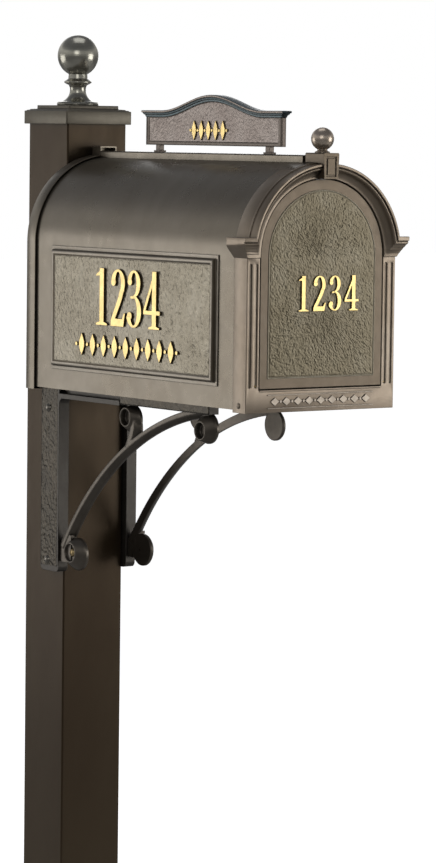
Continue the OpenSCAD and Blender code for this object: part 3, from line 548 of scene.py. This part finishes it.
# ------------------------------------------------------------------ door panel
g = Geo()
pz, pw, pb = 205.3, 88.7, 45.5
bead = [(0.0, 589.95), (0.0, 590.5), (0.15, 590.8), (0.5, 591.0), (0.9, 590.95), (1.25, 590.75), (1.5, 590.45), (1.8, 590.25)]
def pline(i, n_side=184, n_arc=320, n_bot=204):
    return archline(pw - i, pb + i, pz, n_side, n_arc, n_bot)
rings = [[P(x, d, z) for x, z in pline(i)] for i, d in bead]
g.loft(rings, 1, cap=False)
outer = pline(1.8)
NR = 104
last = None
rows = []
for k in range(NR + 1):
    t = k / NR
    row = []
    for x, z in outer:
        sz = min(max(z, pb + pw), pz)
        xx, zz = x * (1 - t), z + (sz - z) * t
        edge = t * 86.9
        lip = ss(0.0, 2.0, edge)
        hgt = 590.40 + 0.42 * lip * crinkle(xx, zz, 2.7, 5.0, 0.3, 1.35) - 0.15 * (1 - lip)
        row.append(P(xx, hgt, zz))
    rows.append(row)
g.loft(rows, 0, cap=False)
back = [P(x, 589.95, z) for x, z in pline(0)]
b0 = len(g.v)
g.v += back
g.f.append(tuple(b0 + i for i in range(len(back)))); g.m.append(1)
# close the middle seam
g.done("door_panel_cast", [M["panel"], M["bead"]], "door", ["door_panel"], 60)

# ------------------------------------------------------------------ brackets: beaten faces on the leg and on the front of the arm
for sx, side in ((-1, "left"), (1, "right")):
    g = Geo()
    seed = 3.0 if sx < 0 else 23.0
    def leg(u, v, low, sx=sx, seed=seed):
        if low is not None:
            return X(sx, low, u, v)
        e = min(u - 14.0, 57.6 - u, v + 267.9, 0.0 - v)
        lip = math.sqrt(max(0.0, 1 - (1 - min(1.0, e / 1.2)) ** 2))
        return X(sx, 65.90 + 1.5 * lip + 0.66 * ss(0.3, 2.5, e) * crinkle(u, v, 4.4, seed, 0.2, 1.4) - 0.1, u, v)
    g.grid(leg, steps(14.05, 57.6, 1.3), steps(-259.9, -0.4, 1.4), 60.0)
    def armf(u, v, low, sx=sx, seed=seed):
        if low is not None:
            return X(sx, low, u, v)
        e = min(u - 215.0, 429.6 - u, v + 13.9, 0.5 - v)
        lip = math.sqrt(max(0.0, 1 - (1 - min(1.0, e / 1.0)) ** 2))
        return X(sx, 66.1 + 1.2 * lip + 0.46 * ss(0.3, 2.0, e) * crinkle(u, v, 4.0, seed + 2, 0.2, 1.0), u, v)
    g.grid(armf, steps(215.1, 429.6, 1.4), steps(-13.9, 0.5, 1.2), 60.0)
    g.done("bracket_face_" + side, M["hammered"], "mailbox", (), 60)

# ------------------------------------------------------------------ scrolls
def circ_pt(ax, az, r, deg):
    return ax + r * math.cos(math.radians(deg)), az + r * math.sin(math.radians(deg))


def on_inner(deg):
    """Where the ray from the upper arc's centre at this angle meets the lower arc."""
    ax, az, bx, bz, rb = 487.0, -505.0, 468.0, -476.0, 460.0
    c, s = math.cos(math.radians(deg)), math.sin(math.radians(deg))
    dx, dz = ax - bx, az - bz
    B = dx * c + dz * s
    C = dx * dx + dz * dz - rb * rb
    return -B + math.sqrt(B * B - C)


def volute(g, sx, c, R, eye, re, x0, x1, floor_x, n=56, twist=0.0):
    """A scroll end: a drum that cones in to an off-centre eye, hollowed inside."""
    def ring(cx_, cz_, r, x):
        return [X(sx, x, *circ_pt(cx_, cz_, r, 360.0 * i / n)) for i in range(n)]
    def lerp(t):
        return c[0] + (eye[0] - c[0]) * t, c[1] + (eye[1] - c[1]) * t
    hgt = x1 - x0
    rings = [ring(*c, R - 1.5, x0), ring(*c, R - 0.9, x0), ring(*c, R - 0.2, x0 + 0.4), ring(*c, R, x0 + 1.2), ring(*c, R, x0 + hgt * 0.30), ring(*lerp(0.02), R - 0.35, x0 + hgt * 0.34)]
    for k in range(1, 8):
        t = k / 8.0
        rr = R - 0.6 + (re + 2.9 - R + 0.6) * t
        rings.append(ring(*lerp(t * 0.92), rr, x0 + hgt * (0.36 + 0.58 * (t ** 0.85))))
    rings += [ring(*eye, re + 2.3, x1 - 0.35), ring(*eye, re + 1.6, x1), ring(*eye, re + 0.8, x1), ring(*eye, re + 0.2, x1 - 0.3), ring(*eye, re - 0.2, x1 - 0.9),
              ring(*eye, re - 0.9, floor_x + 0.9), ring(*eye, re - 1.6, floor_x + 0.2), ring(*eye, re - 2.4, floor_x), ring(*eye, 0.5, floor_x)]
    g.loft(rings)


for sx, side in ((-1, "left"), (1, "right")):
    g = Geo()
    rings = []
    N = 76
    for k in range(N + 1):
        t = k / N
        deg = 146.8 + (97.6 - 146.8) * t
        ro, ri = 506.0, on_inner(deg)
        # let the ends run into the scroll ends
        w = ro - ri
        pts = [(0.0, 53.8), (0.0, 57.2), (0.05, 58.4), (0.12, 59.4), (0.36, 64.2), (0.42, 65.0), (0.50, 65.3), (0.90, 65.3), (0.965, 65.0), (1.0, 64.0), (1.0, 53.8)]
        ring = []
        for q, x in pts:
            u, z = circ_pt(487.0, -505.0, ri + w * q, deg)
            ring.append(X(sx, x, u, min(z, -8.0)))
        rings.append(ring)
    g.loft(rings)
    # lower end, screwed to the leg
    volute(g, sx, (97.5, -238.5), 23.5, (92.0, -236.5), 12.6, 53.6, 68.3, 62.8)
    leg_fill = [(61.7, -226.0), (74.0, -212.0), (90.0, -212.0), (90.0, -252.0), (61.7, -252.0)]
    g.loft([[X(sx, x, u, z) for u, z in leg_fill] for x in (54.1, 64.6)])
    # front end, flat against the arm above
    def cutz(p, zt=-13.6):
        return Vector((p.x, p.y, min(p.z, (zt + BOX_Z) * MM)))
    g1 = Geo()
    volute(g1, sx, (415.0, -33.5), 21.5, (409.0, -37.0), 11.0, 53.6, 67.6, 59.0)
    g1.v = [cutz(p) for p in g1.v]
    volute(g1, sx, (234.0, -34.0), 20.0, (228.5, -31.5), 11.4, 53.6, 67.6, 59.0)
    g1.v = [cutz(p) for p in g1.v]
    off = len(g.v)
    g.v += g1.v
    g.f += [tuple(i + off for i in f) for f in g1.f]
    g.m += g1.m
    # branch limb from the strut up into its scroll
    limb = []
    A = [(226.0, -80.0, 3.0), (231.5, -73.5, 6.0), (237.5, -66.0, 8.2), (242.5, -58.0, 9.2), (245.5, -49.0, 8.8), (246.2, -41.0, 7.8), (245.5, -34.0, 6.6)]
    M_ = 24
    for k in range(M_ + 1):
        s = k / M_ * (len(A) - 1)
        i = min(int(s), len(A) - 2)
        f = s - i
        p0, p1, p2, p3 = A[max(0, i - 1)], A[i], A[i + 1], A[min(len(A) - 1, i + 2)]
        cr = [0.5 * ((2 * p1[m]) + (-p0[m] + p2[m]) * f + (2 * p0[m] - 5 * p1[m] + 4 * p2[m] - p3[m]) * f * f + (-p0[m] + 3 * p1[m] - 3 * p2[m] + p3[m]) * f ** 3) for m in range(3)]
        limb.append(cr)
    rings = []
    for k, (u, z, hw) in enumerate(limb):
        a0, b0_ = limb[max(0, k - 1)], limb[min(M_, k + 1)]
        tx, tz = b0_[0] - a0[0], b0_[1] - a0[1]
        L_ = math.hypot(tx, tz)
        nx, nz = tz / L_, -tx / L_          # towards the front
        top = 65.2 if k > 3 else 62.5 + 0.9 * k
        ring = []
        for q, x in ((-1.0, 54.0), (-1.0, top - 1.6), (-0.93, top - 0.4), (-0.75, top), (0.0, top), (0.2, top - 0.5), (0.85, 58.4), (1.0, 57.0), (1.0, 54.0)):
            ring.append(X(sx, x, u + nx * hw * q, z + nz * hw * q))
        rings.append(ring)
    g.loft(rings)
    g.done("scroll_cast_" + side, M["scroll"], "mailbox", ["scroll_" + side], 32)

# ------------------------------------------------------------------ front frame
def plate(g, loops, d0, d1, bevel, mat=0, res=2):
    """Adds a flat plate with holes, its edges rounded by bevel, lying between depths d0 and d1."""
    cu = bpy.data.curves.new("tmp", "CURVE")
    cu.dimensions = "2D"
    cu.fill_mode = "BOTH"
    for loop in loops:
        sp = cu.splines.new("POLY")
        sp.points.add(len(loop) - 1)
        for p, (x, z) in zip(sp.points, loop):
            p.co = (x * MM, z * MM, 0, 1)
        sp.use_cyclic_u = True
    cu.extrude = ((d1 - d0) / 2 - bevel) * MM
    cu.bevel_depth = bevel * MM
    cu.bevel_resolution = res
    cu.offset = -bevel * MM
    o = bpy.data.objects.new("tmp", cu)
    scene.collection.objects.link(o)
    dg = bpy.context.evaluated_depsgraph_get()
    me = bpy.data.meshes.new_from_object(o.evaluated_get(dg))
    off = len(g.v)
    mid = (d0 + d1) / 2 * MM
    for v in me.vertices:
        g.v.append(Vector((v.co.x, -mid + v.co.z, v.co.y + BOX_Z * MM)))
    for p in me.polygons:
        g.f.append(tuple(i + off for i in p.vertices))
        g.m.append(mat)
    bpy.data.objects.remove(o)
    bpy.data.curves.remove(cu)
    bpy.data.meshes.remove(me)


def stadium(x, z0, z1, r, n=10):
    return [(x + px, pz) for px, pz in arc(0, z1, r, 0, 180, n)] + [(x + px, pz) for px, pz in arc(0, z0, r, 180, 360, n)]


AR = [(102.6, 590.0), (102.6, 591.6), (103.0, 592.0), (104.4, 592.2), (106.0, 592.5), (107.5, 593.0), (109.0, 593.8), (110.4, 594.9),
      (111.6, 596.3), (112.5, 597.9), (113.1, 599.6), (113.4, 601.0), (113.8, 601.9), (114.5, 602.7), (115.5, 603.1), (116.5, 602.9),
      (117.3, 602.2), (117.8, 601.6), (118.3, 601.6), (118.5, 604.0), (118.9, 604.5), (121.3, 604.6), (121.9, 604.3), (122.1, 603.8), (122.1, 590.0)]
IM = [(204.4, 590.0, 123.5), (204.4, 592.2, 124.5), (204.9, 592.6, 124.9), (207.6, 592.9, 125.2), (209.4, 593.2, 125.5), (209.8, 594.2, 126.4),
      (213.2, 594.9, 127.1), (213.6, 596.0, 128.2), (217.0, 597.0, 129.3), (217.4, 598.2, 130.5), (220.4, 599.4, 131.8), (221.0, 600.0, 132.4),
      (221.4, 600.8, 133.2), (222.2, 601.4, 133.8), (223.2, 601.6, 134.0), (224.2, 601.4, 133.9), (224.8, 600.9, 133.5), (225.2, 600.6, 133.4),
      (225.8, 600.6, 133.6), (226.1, 602.9, 136.0), (226.5, 603.3, 136.5), (230.9, 603.4, 136.6), (231.5, 603.2, 136.4), (231.8, 602.7, 135.9),
      (231.8, 590.0, 123.5)]
g = Geo()
ZS = 206.7
phi = [math.asin((z - ZS) / r_) for (r_, d_), (z, D_, X_) in zip(AR, IM)]
def chamfer(X_, z, zf):
    """Side of the impost: flat fascia down to zf, then one plain slope in to the pilaster."""
    if z > 231:
        return X_
    return 136.6 if z >= zf else 124.0 + 12.6 * (z - 204.4) / (zf - 204.4)
right_half = [[P(chamfer(X_, z, 219.5 + 4.5 * t), 561.3 + (D_ - 561.3) * t, z) for z, D_, X_ in IM] for t in (0.0, 0.5, 0.985, 1.0)]
NA = 54
for j in range(NA + 1):
    ring = []
    for (r_, d_), ph in zip(AR, phi):
        a_ = ph + (math.pi / 2 - ph) * j / NA
        ring.append(P(r_ * math.cos(a_), d_, ZS + r_ * math.sin(a_)))
    right_half.append(ring)
left_half = [[Vector((-p.x, p.y, p.z)) for p in ring] for ring in reversed(right_half[:-1])]
g.loft(right_half + left_half)
out_l = archline(123.5, 0.7, ZS, 2, 96, 2)
plate(g, [out_l, archline(121.1, 3.2, ZS, 2, 96, 2)], 561.3, 587.6, 0.5)
plate(g, [archline(122.6, 1.6, ZS, 2, 96, 2), archline(102.5, 31.0, ZS, 2, 96, 2)], 585.2, 588.4, 0.2)
plate(g, [out_l, archline(102.4, 30.9, ZS, 2, 96, 2)] + [stadium(sx * x, 36.0, 195.0, 1.9) for sx in (-1, 1) for x in (107.7, 117.3)], 586.9, 590.0, 0.45)
g.loft([[P(x, d, z) for x, d, z in ((sx * 100.6, 589.6, 28.6), (sx * 100.6, 590.7, 28.7), (sx * 100.6, 591.0, 29.0), (sx * 100.6, 591.0, 30.4), (sx * 100.6, 590.7, 30.8), (sx * 100.6, 589.6, 30.8))] for sx in (-1, 1)])
g.done("front_frame_cast", M["frame"], "mailbox", ["front_frame"], 28)

# ------------------------------------------------------------------ name plate
TOP_D, TOP_L = 341.0, 160.0


def crest(u):
    a = u - TOP_D
    return 398.0 + (21.5 * (0.5 + 0.5 * math.cos(math.radians(180 * a / 119.0))) if abs(a) < 119 else 0.0)


g = Geo()
# core board with a raised border, beaten field on both faces
NU = 96
def bo(sx, x, inset, top=None):
    """Closed outline of the board, inset inwards."""
    top = inset if top is None else top
    a0, a1 = TOP_D - TOP_L, TOP_D + TOP_L
    lo = [(a0 + inset + (a1 - a0 - 2 * inset) * i / NU, 349.5 + inset * 0.72) for i in range(NU + 1)]
    hi = [(a1 - inset - (a1 - a0 - 2 * inset) * i / NU) for i in range(NU + 1)]
    return [X(sx, x, u, z) for u, z in lo] + [X(sx, x, u, crest(u) - 9.3 - top) for u in hi]
g.loft([bo(1, -2.2, 0.0), bo(1, 2.2, 0.0)], 1)
for sx in (-1, 1):
    rings = [bo(sx, 2.0, 0.0), bo(sx, 3.55, 0.0), bo(sx, 3.8, 0.3, 0.0), bo(sx, 3.8, 6.6, 0.7), bo(sx, 3.65, 7.1, 0.9), bo(sx, 3.3, 7.6, 1.1), bo(sx, 2.3, 8.0, 1.2)]
    n = len(rings[0])
    g.loft(rings, 1, cap=False)
    vt = [k / 46.0 for k in range(47)]
    uu = [TOP_D - TOP_L + 8.0 + (2 * TOP_L - 16.0) * i / 320 for i in range(321)]
    seed = 51.0 if sx < 0 else 71.0
    def bf(u, v, low, sx=sx, seed=seed):
        z0, z1 = 349.5 + 5.8, crest(u) - 9.3 - 1.2
        z = z0 + (z1 - z0) * v
        if low is not None:
            return X(sx, low, u, z)
        e = min(u - (TOP_D - TOP_L + 8.0), TOP_D + TOP_L - 8.0 - u, z - z0)
        lip = ss(0.0, 1.6, e)
        return X(sx, 3.05 + 0.40 * lip * crinkle(u * -sx, z, 3.4, seed, 0.3, 1.3), u, z)
    g.grid(bf, uu, vt, 1.0, 0, 1)
g.done("name_board_cast", [M["board"], M["board_edge"]], "mailbox", ["topper_board"], 50)

g = Geo()
half = [(0.0, -9.5), (3.9, -9.5), (4.5, -9.3), (4.8, -8.8), (4.9, -7.6), (5.0, -6.6), (5.3, -6.3), (6.0, -6.2), (6.5, -5.8), (6.65, -5.0), (6.5, -4.2),
        (6.3, -3.8), (6.4, -3.45), (7.1, -3.35), (7.8, -3.0), (8.15, -2.3), (8.2, -1.6), (8.0, -0.9), (7.4, -0.35), (6.4, -0.05), (0.0, 0.0)]
CG = [1, 1, 1, 0, 0, 0, 1, 2, 2, 2, 0, 0, 1, 2, 2, 2, 1, 1, 1, 1]
sec = half + [(-x, z) for x, z in reversed(half[1:-1])]
ns = len(sec)
rings = []
us = [-1.0, -0.997, -0.985] + [-0.97 + 1.94 * k / 150 for k in range(151)] + [0.985, 0.997, 1.0]
for a in us:
    tip = 1.0 - 0.5 * max(0.0, (abs(a) - 0.985) / 0.015) ** 2
    ring = []
    for x, z in sec:
        # the moulding returns round the ends: the lower members are shorter
        reach = 161.5 + 7.5 * ss(-8.5, -2.0, z)
        u = TOP_D + a * reach
        zz = -4.2 + (z + 4.2) * (1.0 - 0.12 * (1 - tip) / 0.5)
        ring.append(P(x * tip if abs(x) > 5 else x * min(1.0, tip + 0.2), u, crest(u) + zz))
    rings.append(ring)
g.loft(rings)
# the outermost bead of the moulding takes a paler paint
for i, f in enumerate(g.f):
    c = sum((g.v[k] for k in f), Vector()) / len(f) / MM
    rel = c.z - BOX_Z - crest(-c.y)
    if -3.1 < rel < -1.0 and abs(c.x) > 7.0:
        g.m[i] = 1
g.done("name_cornice", [M["cornice"], M["cornice_line"]], "mailbox", ["topper_cornice"], 25)

# ------------------------------------------------------------------ studio
def area(name, at, look, size, size_y, power, colour=(1, 1, 1)):
    d = bpy.data.lights.new(name, "AREA")
    d.shape = "RECTANGLE"
    d.size, d.size_y = size, size_y
    d.energy = power
    d.color = colour
    o = bpy.data.objects.new(name, d)
    scene.collection.objects.link(o)
    o.location = at
    o.rotation_euler = (Vector(look) - Vector(at)).to_track_quat("-Z", "Y").to_euler()
    o.visible_camera = False
    return o


LIGHTS = [
    ("soft_left", (-2.3, 2.1, 0.95), (0, -0.3, 1.1), 2.0, 1.4, 20, (1.0, 0.985, 0.96)),
    ("soft_right", (2.3, -2.6, 1.25), (0, -0.4, 1.2), 1.8, 1.5, 31, (1.0, 0.985, 0.96)),
    ("fill_camera", (-3.2, -3.6, 2.9), (0, -0.3, 1.2), 2.0, 1.6, 24, (1.0, 0.99, 0.97)),
    ("soft_back", (2.6, 2.8, 1.7), (0, -0.2, 1.1), 1.8, 1.8, 20, (0.98, 0.985, 1.0)),
    ("top_soft", (0.3, 0.2, 3.9), (0, -0.3, 1.2), 1.6, 1.6, 10, (0.97, 0.98, 1.0)),
]
for L in LIGHTS:
    area(*L)

world = bpy.data.worlds.new("studio")
scene.world = world
world.use_nodes = True
wt = world.node_tree
wt.nodes.clear()
wo = wt.nodes.new("ShaderNodeOutputWorld")
bg_soft = wt.nodes.new("ShaderNodeBackground")
bg_white = wt.nodes.new("ShaderNodeBackground")
mixw = wt.nodes.new("ShaderNodeMixShader")
lp = wt.nodes.new("ShaderNodeLightPath")
wtc = wt.nodes.new("ShaderNodeTexCoord")
wsep = wt.nodes.new("ShaderNodeSeparateXYZ")
wt.links.new(wtc.outputs["Generated"], wsep.inputs[0])
wr = wt.nodes.new("ShaderNodeValToRGB")
wt.links.new(wsep.outputs["Z"], wr.inputs[0])
stops = [(0.0, (0.29, 0.288, 0.282)), (0.14, (0.42, 0.418, 0.41)), (0.33, (0.66, 0.655, 0.645)), (0.45, (0.25, 0.255, 0.27)), (0.56, (0.15, 0.158, 0.175)), (0.74, (0.125, 0.13, 0.145)), (1.0, (0.17, 0.173, 0.185))]
while len(wr.color_ramp.elements) < len(stops):
    wr.color_ramp.elements.new(0.5)
for k, (pos, c) in enumerate(stops):
    wr.color_ramp.elements[k].position = pos
    wr.color_ramp.elements[k].color = (*c, 1)
wdot = wt.nodes.new("ShaderNodeVectorMath")
wdot.operation = "DOT_PRODUCT"
wt.links.new(wtc.outputs["Generated"], wdot.inputs[0])
wdot.inputs[1].default_value = (-0.45, 0.89, 0.0)
wmr = wt.nodes.new("ShaderNodeMapRange")
wmr.interpolation_type = "SMOOTHSTEP"
wt.links.new(wdot.outputs["Value"], wmr.inputs["Value"])
wmr.inputs["From Min"].default_value = -0.2
wmr.inputs["From Max"].default_value = 0.75
wmr.inputs["To Min"].default_value = 0.85
wmr.inputs["To Max"].default_value = 1.30
wt.links.new(wr.outputs[0], bg_soft.inputs[0])
wt.links.new(wmr.outputs[0], bg_soft.inputs[1])
bg_white.inputs[0].default_value = (1, 1, 1, 1)
bg_white.inputs[1].default_value = 1.0
wt.links.new(lp.outputs["Is Camera Ray"], mixw.inputs[0])
wt.links.new(bg_soft.outputs[0], mixw.inputs[1])
wt.links.new(bg_white.outputs[0], mixw.inputs[2])
wt.links.new(mixw.outputs[0], wo.inputs[0])

# floor: a wide pale disc, brought to an even studio white
bm = bmesh.new()
bmesh.ops.create_grid(bm, x_segments=24, y_segments=24, size=30.0)
me = bpy.data.meshes.new("floor")
bm.to_mesh(me)
bm.free()
floor = bpy.data.objects.new("floor", me)
scene.collection.objects.link(floor)
fm = Mat("floor_pale")
fm.b.inputs["Roughness"].default_value = 0.7
fm.b.inputs["Specular IOR Level"].default_value = 0.2
fn = fm.noise(fm.coords(), 3.0, 4.0)
fm.l(fm.ramp(fn, [(0.2, (0.50, 0.50, 0.495)), (0.8, (0.52, 0.52, 0.515))]), fm.b.inputs["Base Color"])
em = fm.n("ShaderNodeEmission")
em.inputs[0].default_value = (1, 1, 1, 1)
em.inputs[1].default_value = 0.90
lpf = fm.n("ShaderNodeLightPath")
add = fm.n("ShaderNodeAddShader")
fm.l(fm.b.outputs[0], add.inputs[0])
fm.l(em.outputs[0], add.inputs[1])
mx = fm.n("ShaderNodeMixShader")
fm.l(lpf.outputs["Is Camera Ray"], mx.inputs[0])
fm.l(fm.b.outputs[0], mx.inputs[1])
fm.l(add.outputs[0], mx.inputs[2])
fm.l(mx.outputs[0], fm.out.inputs[0])
floor.data.materials.append(fm.m)

# ------------------------------------------------------------------ camera
a, e, r = math.radians(-35.809), math.radians(4.751), math.radians(0.729)
back = Vector((math.sin(a) * math.cos(e), -math.cos(a) * math.cos(e), math.sin(e)))
right = (-back).cross(Vector((0, 0, 1))).normalized()
up = right.cross(-back)
cx = math.cos(r) * right + math.sin(r) * up
cy = -math.sin(r) * right + math.cos(r) * up
cam_data = bpy.data.cameras.new("camera")
cam_data.lens = 149.95
cam_data.sensor_width = 36
cam_data.clip_end = 200
cam = bpy.data.objects.new("camera", cam_data)
scene.collection.objects.link(cam)
cam.matrix_world = Matrix((
    (cx.x, cy.x, back.x, -2.89928),
    (cx.y, cy.y, back.y, -4.37718),
    (cx.z, cy.z, back.z, 1.45952),
    (0, 0, 0, 1),
))
scene.camera = cam
scene.view_settings.view_transform = "Standard"
scene.view_settings.look = "None"
